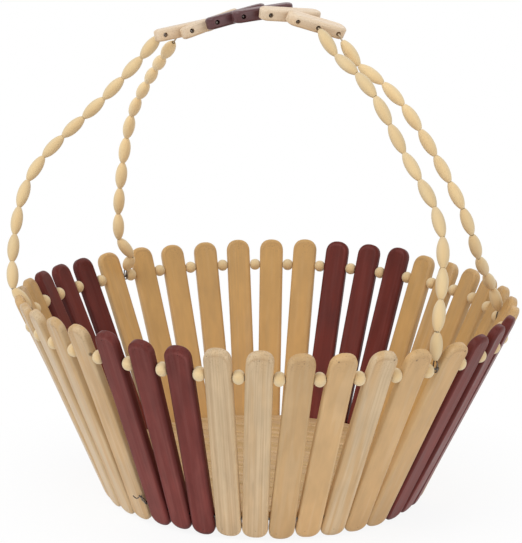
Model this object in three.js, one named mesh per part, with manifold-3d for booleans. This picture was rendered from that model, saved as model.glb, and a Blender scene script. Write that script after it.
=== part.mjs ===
// Round bread basket of flat wooden slats strung on two wires, with a beaded wire handle.
//
// Forty flat slats stand in a flared, slightly oval ring. A rim wire runs edge to edge through all of
// them, with a round bead in each gap, and a base wire runs through them just above their feet. A floor
// of thin boards wedges in the flare. Four strands of oval beads rise from the rim to a grip of six
// short sticks, which lie slantwise side by side on cross pins.
//
// Millimetres, +Z up. The origin is on the table under the middle of the basket, and X runs along the
// handle.

import * as THREE from 'three';
import { mergeVertices } from 'three/addons/utils/BufferGeometryUtils.js';
import Module from 'manifold-3d';

const wasm = await Module();
wasm.setup();

// Slats: flat sticks with round ends, a little narrower at the foot, in runs of light and brown.
const slatCount = 40;
const slatLength = 139.2;
const slatTopWidth = 16;
const slatFootWidth = 15.1;
const slatThickness = 6;
const slatBevel = 1.1;
const slatEndSteps = 3;
const footGap = 0.34;
const baseHoleHeight = 15;
const rimHoleDepth = 18.5;
const rimHoleHeight = slatLength - rimHoleDepth;
const lightRun = 7;
const brownRun = 3;

// The ring is a little oval: the slats lean out by a few degrees more on its long sides.
const tiltSwing = THREE.MathUtils.degToRad(2.1);
const ovalTurn = THREE.MathUtils.degToRad(-12.5);

// Rim wire and its round beads, one in each gap. Four gaps are wider and hold a strand's hook too.
const rimWireRadius = 0.8;
const rimHoleRadius = 1.5;
const rimBeadLength = 6.1;
const rimBeadRadius = 4.4;
const rimBeadPlay = 0.35;
const hookWidth = 3;
const rimBeadEndShare = 0.55;
const rimBeadShoulderShare = 0.42;

// Base wire and its two ends, which leave through one gap and lie twisted together outside the slats.
const baseWireRadius = 0.7;
const baseHoleRadius = 1.4;
const baseWireSides = 6;
const tailNeckRadius = 0.3;
const tailRadius = 0.65;
const tailClearance = 0.6;
const tailReach = 7;
const tailSwing = 6;
const tailRise = 4.6;
const tailSteps = 12;
const tailGap = 36;

// Floor of boards, which wedges between the slats.
const floorHeight = 12;
const floorThickness = 5;
const floorGap = 0.3;
const boardCount = 12;
const grooveWidth = 0.8;
const grooveDepth = 1;

// Strands: a wire with oval beads, hooked round the rim wire in four of its gaps.
const strandWireRadius = 0.55;
const strandBeadCount = 12;
const strandBeadRadius = 3.95;
const strandNeckRadius = 1.3;
const strandSides = 8;
const hookClearance = 0.45;
const hookLegHeight = 4.2;
const hookLegSpacing = 2;
const hookBeadHeight = 5.4;
const hookArcSteps = 6;
const hookSteps = 16;
const lastBeadRise = 13.5;
const mouthClearance = 0.6;

// Grip: short sticks side by side, turned in plan and rolled back a little. Each is tipped by an angle
// of its own, with its right end up or down, so that together they hang as an uneven arch.
const stickCount = 6;
const stickLength = 39;
const stickThickness = 7.5;
const stickBevel = 1.5;
const stickPitch = 17.7;
const stickTurn = THREE.MathUtils.degToRad(39);
const stickGap = 0.9;
const stickTips = [-10, -20, -14, -6, 9, 25].map(THREE.MathUtils.degToRad);
const gripRoll = THREE.MathUtils.degToRad(4.2);
const firstStickX = -55.4;
const firstStickRise = 179.7;
const pinRadius = 0.6;
const pinHoleRadius = 1.5;
const pinRecess = 1.6;
const pinSteps = 6;
const stickPattern = ['light', 'light', 'brown', 'brown', 'light', 'light'];

// Cutters run past the solids that they cut.
const overrun = 1;
const weldDistance = 1e-4;

const materials = {
  light: new THREE.MeshStandardMaterial({ color: 0xd2b184, roughness: 0.45, metalness: 0 }),
  brown: new THREE.MeshStandardMaterial({ color: 0x6b2f2b, roughness: 0.4, metalness: 0 }),
  bead: new THREE.MeshStandardMaterial({ color: 0xe6c896, roughness: 0.4, metalness: 0 }),
  floor: new THREE.MeshStandardMaterial({ color: 0xcfae7f, roughness: 0.55, metalness: 0 }),
  wire: new THREE.MeshStandardMaterial({ color: 0x6a6a6c, roughness: 0.4, metalness: 0.9 }),
};

const basket = new THREE.Group();

function addMesh(parent, name, geometry, material) {
  const mesh = new THREE.Mesh(geometry, material);
  mesh.name = name;
  parent.add(mesh);
  return mesh;
}

// Solids are joined and cut as closed meshes with shared vertices.
function toSolid(geometry) {
  const bare = geometry.clone();
  bare.deleteAttribute('normal');
  bare.deleteAttribute('uv');
  const merged = mergeVertices(bare, weldDistance);
  const vertProperties = new Float32Array(merged.attributes.position.array);
  const triVerts = new Uint32Array(merged.index.array);
  return new wasm.Manifold(new wasm.Mesh({ numProp: 3, vertProperties, triVerts }));
}

function toGeometry(solid) {
  const mesh = solid.getMesh();
  const geometry = new THREE.BufferGeometry();
  const positions = new Float32Array(mesh.vertProperties);
  geometry.setAttribute('position', new THREE.BufferAttribute(positions, 3));
  geometry.setIndex(new THREE.BufferAttribute(new Uint32Array(mesh.triVerts), 1));
  return geometry;
}

// A hole's cutter: a six-sided rod whose flats lie at the hole's radius.
function holeRod(radius, length) {
  const sides = 6;
  const corner = radius / Math.cos(Math.PI / sides);
  return new THREE.CylinderGeometry(corner, corner, length + 2 * overrun, sides);
}

// A tube of changing radius through stations { at, along, radius }, closed on itself or with flat ends.
// Its rings are carried from one station to the next without twist.
function tube(stations, sides, closed) {
  const positions = [];
  const index = [];
  const normal = new THREE.Vector3(0, 0, 1);
  if (Math.abs(stations[0].along.z) > 0.9) normal.set(0, 1, 0);
  for (const { at, along, radius } of stations) {
    normal.addScaledVector(along, -normal.dot(along)).normalize();
    const side = new THREE.Vector3().crossVectors(along, normal);
    for (let i = 0; i < sides; i++) {
      const turn = (2 * Math.PI * i) / sides;
      const corner = at.clone();
      corner.addScaledVector(normal, radius * Math.cos(turn));
      corner.addScaledVector(side, radius * Math.sin(turn));
      positions.push(corner.x, corner.y, corner.z);
    }
  }
  const rings = stations.length;
  const joins = closed ? rings : rings - 1;
  for (let ring = 0; ring < joins; ring++) {
    const here = ring * sides;
    const next = ((ring + 1) % rings) * sides;
    for (let i = 0; i < sides; i++) {
      const j = (i + 1) % sides;
      index.push(here + i, here + j, next + j);
      index.push(here + i, next + j, next + i);
    }
  }
  if (!closed) {
    const last = (rings - 1) * sides;
    for (let i = 1; i < sides - 1; i++) {
      index.push(0, i + 1, i);
      index.push(last, last + i, last + i + 1);
    }
  }
  const geometry = new THREE.BufferGeometry();
  geometry.setAttribute('position', new THREE.BufferAttribute(new Float32Array(positions), 3));
  geometry.setIndex(index);
  return geometry;
}

// Stations along a smooth curve through points, all of one radius.
function wireStations(points, radius, steps) {
  const curve = new THREE.CatmullRomCurve3(points, false, 'centripetal');
  const stations = [];
  for (let i = 0; i <= steps; i++) {
    const share = i / steps;
    stations.push({ at: curve.getPointAt(share), along: curve.getTangentAt(share), radius });
  }
  return stations;
}

// A flat stick with round ends, lying along Y and centred on Z, with all its edges bevelled.
function stickGeometry(length, footWidth, topWidth, thickness, bevel, endSteps) {
  const footRadius = footWidth / 2;
  const topRadius = topWidth / 2;
  const outline = new THREE.Shape();
  outline.moveTo(-footRadius, footRadius);
  outline.absarc(0, footRadius, footRadius, Math.PI, 2 * Math.PI);
  outline.lineTo(topRadius, length - topRadius);
  outline.absarc(0, length - topRadius, topRadius, 0, Math.PI);
  outline.closePath();
  const geometry = new THREE.ExtrudeGeometry(outline, {
    depth: thickness - 2 * bevel,
    bevelThickness: bevel,
    bevelSize: bevel,
    bevelOffset: -bevel,
    bevelSegments: 1,
    curveSegments: endSteps,
  });
  geometry.translate(0, 0, bevel - thickness / 2);
  return geometry;
}

// The ring of slats

// The rim's length is what its slats, beads and hooks take up, and its radius sets the slats' tilt.
const rimSlatWidth = slatFootWidth + ((slatTopWidth - slatFootWidth) * rimHoleHeight) / slatLength;
const rimGap = rimBeadLength + 2 * rimBeadPlay;
const hookGaps = [5, 11, 25, 31];
const rimLength = slatCount * (rimSlatWidth + rimGap) + hookGaps.length * hookWidth;
const rimRadius = rimLength / (2 * Math.PI);
const footRadius = (slatCount * (slatFootWidth + footGap)) / (2 * Math.PI);
const slatTilt = Math.asin((rimRadius - footRadius) / rimHoleHeight);

// Slat 9 stands at the right end of the handle's plane.
const firstSlat = 9;

function tiltAt(angle) {
  return slatTilt + tiltSwing * Math.cos(2 * (angle - ovalTurn));
}

// A point in the slats' middle sheet, by the angle round the basket and the height up the slat.
function sheetPoint(angle, height) {
  const tilt = tiltAt(angle);
  const radius = footRadius + height * Math.sin(tilt);
  const lift = (slatThickness / 2 - slatBevel) * Math.sin(tilt);
  const z = lift + height * Math.cos(tilt);
  return new THREE.Vector3(radius * Math.cos(angle), radius * Math.sin(angle), z);
}

// The angle at a length of wire along the rim, counted from the right end of the handle's plane.
function rimAngle(length) {
  const turn = length / rimRadius;
  const swing = rimHoleHeight * Math.cos(slatTilt) * tiltSwing;
  return turn - (swing / (2 * rimRadius)) * Math.sin(2 * (turn - ovalTurn));
}

function rimPoint(length) {
  return sheetPoint(rimAngle(length), rimHoleHeight);
}

function rimDirection(length) {
  const step = rimWireRadius;
  return rimPoint(length + step).sub(rimPoint(length - step)).normalize();
}

// Where slat k, and the gap after it, stand along the rim wire.
function slatPlace(k) {
  const hooksPassed = hookGaps.filter((gap) => gap >= firstSlat && gap < k).length;
  const hooksBehind = hookGaps.filter((gap) => gap < firstSlat && gap >= k).length;
  return (k - firstSlat) * (rimSlatWidth + rimGap) + (hooksPassed - hooksBehind) * hookWidth;
}

function gapPlace(k) {
  const room = hookGaps.includes(k) ? hookWidth : 0;
  return slatPlace(k) + (rimSlatWidth + rimGap + room) / 2;
}

// In a hook's gap the bead keeps to one slat, and the hook hangs between it and the other, on the side
// of the handle's plane.
const hookSides = { 5: 1, 11: -1, 25: 1, 31: -1 };

function beadPlace(k) {
  const side = hookSides[k] ?? 0;
  return gapPlace(k) - (side * hookWidth) / 2;
}

function hookPlace(k) {
  const side = hookSides[k];
  const room = hookWidth + rimBeadPlay;
  return beadPlace(k) + side * (rimBeadLength / 2 + room / 2);
}

// Slats

let slatSolid = toSolid(
  stickGeometry(slatLength, slatFootWidth, slatTopWidth, slatThickness, slatBevel, slatEndSteps),
);
for (const [height, radius] of [[baseHoleHeight, baseHoleRadius], [rimHoleHeight, rimHoleRadius]]) {
  const rod = holeRod(radius, slatTopWidth);
  rod.rotateZ(Math.PI / 2);
  rod.translate(0, height, 0);
  slatSolid = slatSolid.subtract(toSolid(rod));
}
const slatGeometry = toGeometry(slatSolid);

for (let k = 0; k < slatCount; k++) {
  const place = slatPlace(k);
  const footAngle = ((k - firstSlat) * 2 * Math.PI) / slatCount;
  const foot = sheetPoint(footAngle, 0);
  const rim = rimPoint(place);
  const up = rim.clone().sub(foot).normalize();
  const footAcross = new THREE.Vector3(-Math.sin(footAngle), Math.cos(footAngle), 0);
  const across = rimDirection(place).add(footAcross);
  across.addScaledVector(up, -across.dot(up)).normalize();
  const outward = new THREE.Vector3().crossVectors(across, up);
  const frame = new THREE.Matrix4().makeBasis(across, up, outward);
  const isLight = k % (lightRun + brownRun) < lightRun;
  const name = `slat_${String(k + 1).padStart(2, '0')}`;
  const slat = addMesh(basket, name, slatGeometry, isLight ? materials.light : materials.brown);
  slat.quaternion.setFromRotationMatrix(frame);
  slat.position.copy(foot);
}

// Rim wire with its beads

const rimStations = [];
for (let k = 0; k < slatCount; k++) {
  const middle = beadPlace(k);
  const half = rimBeadLength / 2;
  const endRadius = rimBeadRadius * rimBeadEndShare;
  const shoulder = half * rimBeadShoulderShare;
  const profile = [
    [-half, rimWireRadius],
    [-half, endRadius],
    [-shoulder, rimBeadRadius],
    [shoulder, rimBeadRadius],
    [half, endRadius],
    [half, rimWireRadius],
  ];
  const along = rimDirection(middle);
  for (const [offset, radius] of profile) {
    const at = rimPoint(middle).addScaledVector(along, offset);
    rimStations.push({ at, along, radius });
  }
}
addMesh(basket, 'rim_wire_with_beads', tube(rimStations, strandSides, true), materials.bead);

// Base wire, with its twisted ends reaching out through one gap

const footTurn = (2 * Math.PI) / slatCount;
const baseStations = [];
for (let k = 0; k < slatCount; k++) {
  const angle = (k - firstSlat + 0.5) * footTurn;
  const at = sheetPoint(angle, baseHoleHeight);
  const along = sheetPoint(angle + footTurn / 2, baseHoleHeight);
  along.sub(sheetPoint(angle - footTurn / 2, baseHoleHeight)).normalize();
  baseStations.push({ at, along, radius: baseWireRadius });
}
const tailAngle = (tailGap - firstSlat + 0.5) * footTurn;
const tailOut = new THREE.Vector3(Math.cos(tailAngle), Math.sin(tailAngle), 0);
const tailAside = new THREE.Vector3(Math.sin(tailAngle), -Math.cos(tailAngle), 0);

// A point of the twisted ends, by the way out from the wire, aside along the ring, and up.
function tailPoint(out, aside, up) {
  const point = sheetPoint(tailAngle, baseHoleHeight);
  point.addScaledVector(tailOut, out).addScaledVector(tailAside, aside);
  point.z += up;
  return point;
}

const faceReach = slatThickness / 2;
const bendReach = faceReach + tailRadius + tailClearance;
const tailRoute = [
  tailPoint(-baseWireRadius / 3, 0, 0),
  tailPoint(faceReach, 0, 0),
  tailPoint(bendReach, 0, 0),
  tailPoint(tailReach, tailSwing, tailRise),
];
const tailStations = wireStations(tailRoute, tailRadius, tailSteps);
for (const station of tailStations) {
  const out = station.at.clone().sub(tailRoute[0]).dot(tailOut);
  if (out < faceReach + tailClearance) station.radius = tailNeckRadius;
}
const baseWire = toSolid(tube(baseStations, baseWireSides, true));
const tail = toSolid(tube(tailStations, baseWireSides, false));
addMesh(basket, 'base_wire', toGeometry(baseWire.add(tail)), materials.wire);

// Floor: an oval of boards side by side, parted by grooves, that wedges against the slats

const floorOutline = new THREE.Shape();
for (let k = 0; k < slatCount; k++) {
  const angle = (k - firstSlat) * footTurn;
  const tilt = tiltAt(angle);
  const slatRadius = footRadius + floorHeight * Math.tan(tilt);
  const radius = slatRadius - slatThickness / 2 / Math.cos(tilt) - floorGap;
  if (k === 0) floorOutline.moveTo(radius * Math.cos(angle), radius * Math.sin(angle));
  else floorOutline.lineTo(radius * Math.cos(angle), radius * Math.sin(angle));
}
floorOutline.closePath();
let floorSolid = toSolid(
  new THREE.ExtrudeGeometry(floorOutline, { depth: floorThickness, bevelEnabled: false }),
);
const boardWidth = (2 * footRadius) / boardCount;
for (let i = 1; i < boardCount; i++) {
  const y = (i - boardCount / 2) * boardWidth;
  for (const z of [0, floorThickness]) {
    const groove = new THREE.BoxGeometry(2 * rimRadius, grooveWidth, 2 * grooveDepth);
    groove.translate(0, y, z);
    floorSolid = floorSolid.subtract(toSolid(groove));
  }
}
const floor = addMesh(basket, 'floor_boards', toGeometry(floorSolid), materials.floor);
floor.position.z = floorHeight;

// Grip: sticks in an uneven arch, each a pitch further on than the last, along their mean slope

const rimHeight = sheetPoint(0, rimHoleHeight).z;
const stickMiddles = [new THREE.Vector3(firstStickX, 0, rimHeight + firstStickRise)];
for (let m = 1; m < stickCount; m++) {
  const slope = (stickTips[m - 1] + stickTips[m]) / 2;
  const step = new THREE.Vector3(Math.cos(slope), 0, -Math.sin(slope)).multiplyScalar(stickPitch);
  stickMiddles.push(stickMiddles[m - 1].clone().add(step));
}

const stickWidth = stickPitch * Math.sin(stickTurn) - stickGap;
const holePitch = stickPitch * Math.cos(stickTurn);

function placeStick(object, m) {
  object.position.copy(stickMiddles[m]);
  object.rotation.set(gripRoll, stickTips[m], stickTurn, 'YXZ');
  object.updateMatrix();
}

// A point in stick m, by its hole (-1 near end, 0 middle, 1 far end) and the way along the hole.
function holePoint(m, hole, along) {
  const stick = new THREE.Object3D();
  placeStick(stick, m);
  return new THREE.Vector3(hole * holePitch, along, 0).applyMatrix4(stick.matrix);
}

const stickShape = stickGeometry(
  stickLength, stickWidth, stickWidth, stickThickness, stickBevel, slatEndSteps,
);
stickShape.translate(0, -stickLength / 2, 0);
stickShape.rotateZ(-Math.PI / 2);
let stickSolid = toSolid(stickShape);
for (const hole of [-1, 0, 1]) {
  const rod = holeRod(pinHoleRadius, stickWidth);
  rod.translate(hole * holePitch, 0, 0);
  stickSolid = stickSolid.subtract(toSolid(rod));
}
const stickBody = toGeometry(stickSolid);
for (let m = 0; m < stickCount; m++) {
  const stick = addMesh(basket, `grip_stick_${m + 1}`, stickBody, materials[stickPattern[m]]);
  placeStick(stick, m);
}

// Cross pins: each runs through the near hole of one stick, the middle hole of the next to its left and
// the far hole of the one after that. The outer two run through two sticks.
const pinEnd = stickWidth / 2 - pinRecess;
for (let pin = 1; pin <= stickCount; pin++) {
  const holes = [[pin, -1], [pin - 1, 0], [pin - 2, 1]];
  const crossed = holes.filter(([m]) => m >= 0 && m < stickCount);
  const points = crossed.map(([m, hole]) => holePoint(m, hole, 0));
  points.unshift(holePoint(...crossed[0], -pinEnd));
  points.push(holePoint(...crossed[crossed.length - 1], pinEnd));
  const stations = wireStations(points, pinRadius, pinSteps);
  addMesh(basket, `grip_pin_${pin}`, tube(stations, baseWireSides, false), materials.wire);
}

// Strands

// A point in the plane across the rim wire at a place along it, by the way out from the wire and the
// height above it.
function wirePlanePoint(place, out, height) {
  const along = rimDirection(place);
  const outward = new THREE.Vector3(along.y, -along.x, 0).normalize();
  const point = rimPoint(place).addScaledVector(outward, out);
  point.z += height;
  return point;
}

// Each strand follows a smooth curve from its hole in the grip to its hook. The points between are
// shares of the way from the grip to the rim along X, Y and Z, so a share past 1 bulges beyond the rim.
// The last bead hangs in the middle of the hook's gap, out or in from the rim wire by a share of its
// rise. Next to the grip a share of a bead's length of wire is bare.
const strands = [
  {
    name: 'strand_left_front',
    gap: 31,
    side: 1,
    mouth: [0, -1, 1],
    bareShare: 0.101,
    bendShares: [[0.17, 0, 0.08], [0.53, 0.08, 0.24], [1.18, 0.4, 0.53], [1.225, 0.8, 0.76]],
    lastBeadOutShare: 0.66,
  },
  {
    name: 'strand_left_back',
    gap: 25,
    side: -1,
    mouth: [0, 0, 1],
    bareShare: 0.55,
    bendShares: [[0.1, 0, 0.06], [0.42, 0.33, 0.18], [0.83, 0.71, 0.41], [0.97, 0.84, 0.91]],
    lastBeadOutShare: -0.7,
  },
  {
    name: 'strand_right_front',
    gap: 5,
    side: -1,
    mouth: [5, 0, -1],
    bareShare: 0.054,
    bendShares: [[0.16, 0.08, 0.1], [0.35, 0.19, 0.16], [0.65, 0.34, 0.39], [0.92, 0.57, 0.58]],
    lastBeadOutShare: 0.35,
  },
  {
    name: 'strand_right_back',
    gap: 11,
    side: 1,
    mouth: [5, 1, -1],
    bareShare: 0.248,
    bendShares: [[0.11, 0, 0.09], [0.38, 0.05, 0.2], [0.84, 0.14, 0.59], [0.92, 0.39, 0.77]],
    lastBeadOutShare: -0.13,
  },
];

const beadProfileShares = [[0.1, 0.62], [0.34, 0.95], [0.66, 0.95], [0.9, 0.62]];

for (const { name, gap, side, mouth, bareShare, bendShares, lastBeadOutShare } of strands) {
  const [stick, hole, end] = mouth;
  const start = holePoint(stick, hole, end * (stickWidth / 2 + mouthClearance));
  const place = hookPlace(gap);
  const legOut = (side * hookLegSpacing) / 2;
  const finish = wirePlanePoint(place, legOut, hookBeadHeight);
  const way = finish.clone().sub(start);
  const bends = bendShares.map((shares) => {
    return new THREE.Vector3(...shares).multiply(way).add(start);
  });
  bends.push(wirePlanePoint(gapPlace(gap), lastBeadOutShare * lastBeadRise, lastBeadRise));
  const curve = new THREE.CatmullRomCurve3([start, ...bends, finish], false, 'centripetal');
  curve.arcLengthDivisions = 400;
  const length = curve.getLength();
  const beadPitch = length / (strandBeadCount + bareShare);
  const bareWire = bareShare * beadPitch;
  const stations = [];
  const addStation = (distance, radius) => {
    const share = THREE.MathUtils.clamp(distance / length, 0, 1);
    stations.push({ at: curve.getPointAt(share), along: curve.getTangentAt(share), radius });
  };
  addStation(0, strandWireRadius);
  addStation(bareWire / 2, strandWireRadius);
  for (let bead = 0; bead < strandBeadCount; bead++) {
    const from = bareWire + bead * beadPitch;
    addStation(from, strandNeckRadius);
    for (const [placeShare, radiusShare] of beadProfileShares) {
      addStation(from + placeShare * beadPitch, radiusShare * strandBeadRadius);
    }
  }
  addStation(length, strandNeckRadius);
  // Down one side of the rim wire, round under it, and up the other side to just below the last bead.
  const hookRadius = rimWireRadius + hookClearance + strandWireRadius;
  const hookPoints = [finish.clone(), wirePlanePoint(place, legOut, hookLegHeight)];
  for (let i = 0; i <= hookArcSteps; i++) {
    const turn = (Math.PI * i) / hookArcSteps;
    const out = side * hookRadius * Math.cos(turn);
    hookPoints.push(wirePlanePoint(place, out, -hookRadius * Math.sin(turn)));
  }
  hookPoints.push(wirePlanePoint(place, -legOut, hookLegHeight));
  stations.push(...wireStations(hookPoints, strandWireRadius, hookSteps));
  addMesh(basket, name, tube(stations, strandSides, false), materials.bead);
}

export default basket;
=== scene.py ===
"""Round bread basket: forty flat wooden slats strung on two wires, a wooden floor, and a handle of
beaded wires with a grip of short sticks. Metres, +Z up, X along the handle."""

import math

import bpy
import numpy as np
from mathutils import Matrix


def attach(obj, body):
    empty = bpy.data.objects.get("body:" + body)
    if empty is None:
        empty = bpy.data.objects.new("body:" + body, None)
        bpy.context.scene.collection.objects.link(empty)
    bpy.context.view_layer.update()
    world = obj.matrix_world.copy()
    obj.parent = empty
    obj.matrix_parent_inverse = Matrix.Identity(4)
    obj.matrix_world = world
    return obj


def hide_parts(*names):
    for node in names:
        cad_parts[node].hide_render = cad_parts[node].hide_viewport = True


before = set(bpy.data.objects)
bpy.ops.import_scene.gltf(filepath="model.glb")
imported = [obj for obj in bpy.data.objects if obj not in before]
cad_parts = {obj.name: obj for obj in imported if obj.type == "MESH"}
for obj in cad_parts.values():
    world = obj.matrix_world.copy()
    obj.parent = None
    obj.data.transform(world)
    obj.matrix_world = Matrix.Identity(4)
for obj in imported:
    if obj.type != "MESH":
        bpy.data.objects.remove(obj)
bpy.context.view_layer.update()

# Slats
#
# Forty flat sticks with round ends stand in a flared ring, seven light ones and three maroon brown
# ones in turn. They are sawn from pale wood, rounded over along the edges, drilled edge to edge
# for the two wires, and lacquered.

millimetre = 0.001
slat_count = 40
slat_length = 0.1392
slat_top_width = 0.016
slat_foot_width = 0.0151
slat_thickness = 0.006
slat_rounding = 0.0018
slat_end_share = 0.45
end_fullness = 2.3
slat_lift = 0.0019
foot_gap = 0.00034
base_hole_height = 0.015
rim_hole_height = slat_length - 0.0185
slat_outline = (slat_length, slat_foot_width, slat_top_width, slat_rounding, slat_end_share,
                end_fullness)
slat_hole_radius = 0.00145
light_run = 7
brown_run = 3
# The slat at the right end of the handle's plane, counted from 0 as in the tables below.
first_slat = 9

rim_bead_length = 0.0061
rim_bead_play = 0.00035
hook_width = 0.003
hook_gaps = np.array([5, 11, 25, 31])

# The ring is a little oval: the slats lean out by a few degrees more on its long sides.
tilt_swing = math.radians(2.1)
oval_turn = math.radians(-12.5)
slat_taper = slat_top_width - slat_foot_width
rim_slat_width = slat_foot_width + slat_taper * rim_hole_height / slat_length
rim_gap = rim_bead_length + 2 * rim_bead_play
rim_length = slat_count * (rim_slat_width + rim_gap) + len(hook_gaps) * hook_width
rim_radius = rim_length / (2 * math.pi)
foot_radius = slat_count * (slat_foot_width + foot_gap) / (2 * math.pi)
slat_tilt = math.asin((rim_radius - foot_radius) / rim_hole_height)


def unit(vectors):
    """Each vector over its own length."""
    return vectors / np.linalg.norm(vectors, axis=-1, keepdims=True)


def sheet_point(angle, height):
    """Points in the slats' middle sheet, by the angle round the basket and the height up the slat:
    a cone whose tilt swings twice in a turn."""
    tilt = slat_tilt + tilt_swing * np.cos(2 * (angle - oval_turn))
    radius = foot_radius + height * np.sin(tilt)
    z = slat_lift * np.sin(tilt) + height * np.cos(tilt)
    return np.stack([radius * np.cos(angle), radius * np.sin(angle), z], axis=-1)


def rim_point(length):
    """Points on the rim wire, by the length of wire from the right end of the handle's plane. The
    angle runs a little ahead of the length where the ring is wide."""
    turn = np.asarray(length) / rim_radius
    swing = rim_hole_height * math.cos(slat_tilt) * tilt_swing
    angle = turn - swing / (2 * rim_radius) * np.sin(2 * (turn - oval_turn))
    return sheet_point(angle, rim_hole_height)


def rim_direction(length):
    """The rim wire's direction, from two points on it a short way apart."""
    step = 0.0008
    return unit(rim_point(length + step) - rim_point(length - step))


def slat_place(k):
    """Where slat k stands along the rim wire: a slat and a gap for each slat from the first one,
    and a hook's width for each gap passed that holds a hook."""
    k = np.atleast_1d(k)[:, None]
    passed = ((hook_gaps >= first_slat) & (hook_gaps < k)).sum(1)
    behind = ((hook_gaps < first_slat) & (hook_gaps >= k)).sum(1)
    return (k[:, 0] - first_slat) * (rim_slat_width + rim_gap) + (passed - behind) * hook_width


def widening(angle, end_share):
    """How much wider the rounding gets towards a stick's round ends, by the angle round them."""
    return 1 + end_share * np.sin(angle) ** 2


def band_faces(rings, around, closed=False):
    """Faces between rings of points, each from two neighbours in one ring to the same two in the
    next. When closed, the last ring joins the first."""
    i = np.arange(around)
    after = (i + 1) % around
    here = np.arange(rings if closed else rings - 1)[:, None] * around
    there = (here + around) % (rings * around)
    return np.stack([here + i, here + after, there + after, there + i], axis=-1).reshape(-1, 4)


def stick_surface(thickness, length, foot_width, top_width, rounding, end_share, fullness=2):
    """A flat stick with round ends, lying along Y, as rings round its outline. A point of a ring
    is a point on the stick's middle line plus the local radius along a direction, a little fuller
    at the ends than a circle. From the face's border out to the side, the radius grows and the
    height falls, as most of a quarter circle, which is wider round the ends."""
    end_steps, side_steps, edge_steps = 12, 14, 7
    crease = math.radians(26)
    face_insets = [1.8, 1.2]
    foot_end, top_end = foot_width / 2, top_width / 2
    share = np.linspace(0, 1, side_steps + 1)
    side = (foot_end + share * (length - top_end - foot_end))[1:-1]
    turn = np.linspace(0, math.pi / 2, end_steps + 1)
    angle = np.concatenate([turn - math.pi / 2, side * 0, turn])
    middle = np.concatenate([turn * 0 + foot_end, side, turn * 0 + length - top_end])
    radius = np.interp(middle, [foot_end, length - top_end], [foot_end, top_end])
    angle = np.concatenate([angle, math.pi - angle[-2:0:-1]])
    middle = np.concatenate([middle, middle[-2:0:-1]])
    radius = np.concatenate([radius, radius[-2:0:-1]])

    over = np.linspace(crease, math.pi / 2, edge_steps + 1)
    inset = np.concatenate([face_insets, (1 - np.sin(over)) / (1 - math.sin(crease))])
    fall = np.concatenate([[0, 0], 1 - np.cos(over) / math.cos(crease)])
    inset = np.concatenate([inset, inset[::-1]])[:, None] * rounding * widening(angle, end_share)
    height = thickness / 2 - rounding * fall
    height = np.concatenate([height, -height[::-1]])[:, None]
    flat = np.sign(np.cos(angle)) * np.abs(np.cos(angle)) ** (2 / fullness)
    steep = np.sign(np.sin(angle)) * np.abs(np.sin(angle)) ** (2 / fullness)
    x = (radius - inset) * flat
    y = middle + (radius - inset) * steep
    points = np.stack([x, y, height + 0 * x], axis=-1)

    rings, around = x.shape
    walls = band_faces(rings, around)[:, [0, 3, 2, 1]]
    half = np.arange(around // 2)
    other = around - half
    face = np.stack([half, half + 1, (other - 1) % around, other % around], axis=-1)
    last = (rings - 1) * around
    return points.reshape(-1, 3), np.concatenate([walls, face, last + face[:, ::-1]])


def border_way(along, across, length, foot_width, top_width, rounding, end_share, fullness=2):
    """How far points of a stick lie in from its outline, over the width of its rounding there."""
    ends = [foot_width / 2, length - top_width / 2]
    nearest = np.clip(along, *ends)
    radius = np.interp(nearest, ends, [foot_width / 2, top_width / 2])
    beyond = np.abs(along - nearest)
    distance = (np.abs(across) ** fullness + beyond ** fullness) ** (1 / fullness)
    angle = np.arctan2(beyond, np.abs(across))
    return (radius - distance) / (rounding * widening(angle, end_share))


def without_repeats(faces):
    """Face rows as lists, each corner once, so that a quad with two like corners is a triangle."""
    return [list(dict.fromkeys(row)) for row in faces.tolist()]


def tube_surface(path, radius, reference, sides=10, closed=False):
    """A tube: circles about the points of a path, square to it. The reference, one vector or one
    for each point, turns the circles so that they don't twist."""
    path = np.asarray(path, float)
    if closed:
        along = unit(np.roll(path, -1, 0) - np.roll(path, 1, 0))
    else:
        along = unit(np.gradient(path, axis=0))
    reference = np.broadcast_to(reference, path.shape)
    normal = unit(reference - (reference * along).sum(1, keepdims=True) * along)
    side = np.cross(along, normal)
    turn = 2 * math.pi * np.arange(sides) / sides
    radius = np.broadcast_to(radius, len(path))[:, None, None]
    ring = np.cos(turn)[:, None] * normal[:, None] + np.sin(turn)[:, None] * side[:, None]
    points = (path[:, None] + radius * ring).reshape(-1, 3)
    faces = band_faces(len(path), sides, closed).tolist()
    if not closed:
        i = np.arange(sides)
        faces += [i[::-1].tolist(), ((len(path) - 1) * sides + i).tolist()]
    return points, faces


def new_object(name, points, faces):
    """A mesh object at the origin from points and faces."""
    mesh = bpy.data.meshes.new(name)
    mesh.from_pydata(np.asarray(points).tolist(), [], faces)
    made = bpy.data.objects.new(name, mesh)
    bpy.context.scene.collection.objects.link(made)
    return made


def drilled(points, faces, rods):
    """The points and faces of a shape with rods cut out of it."""
    block = new_object("block", points, faces)
    cutters = [new_object("rod", *rod) for rod in rods]
    for cutter in cutters:
        cut = block.modifiers.new("hole", "BOOLEAN")
        cut.operation = "DIFFERENCE"
        cut.solver = "EXACT"
        cut.object = cutter
    solved = block.evaluated_get(bpy.context.evaluated_depsgraph_get())
    result = bpy.data.meshes.new_from_object(solved)
    corners = np.zeros(len(result.vertices) * 3)
    result.vertices.foreach_get("co", corners)
    kept = [list(face.vertices) for face in result.polygons]
    for spare in [block, *cutters]:
        bpy.data.objects.remove(spare)
    return corners.reshape(-1, 3), kept


def columns(*values):
    """Numbers and arrays side by side, as a row of them for each vertex."""
    return np.stack(np.broadcast_arrays(*values), axis=-1)


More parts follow.
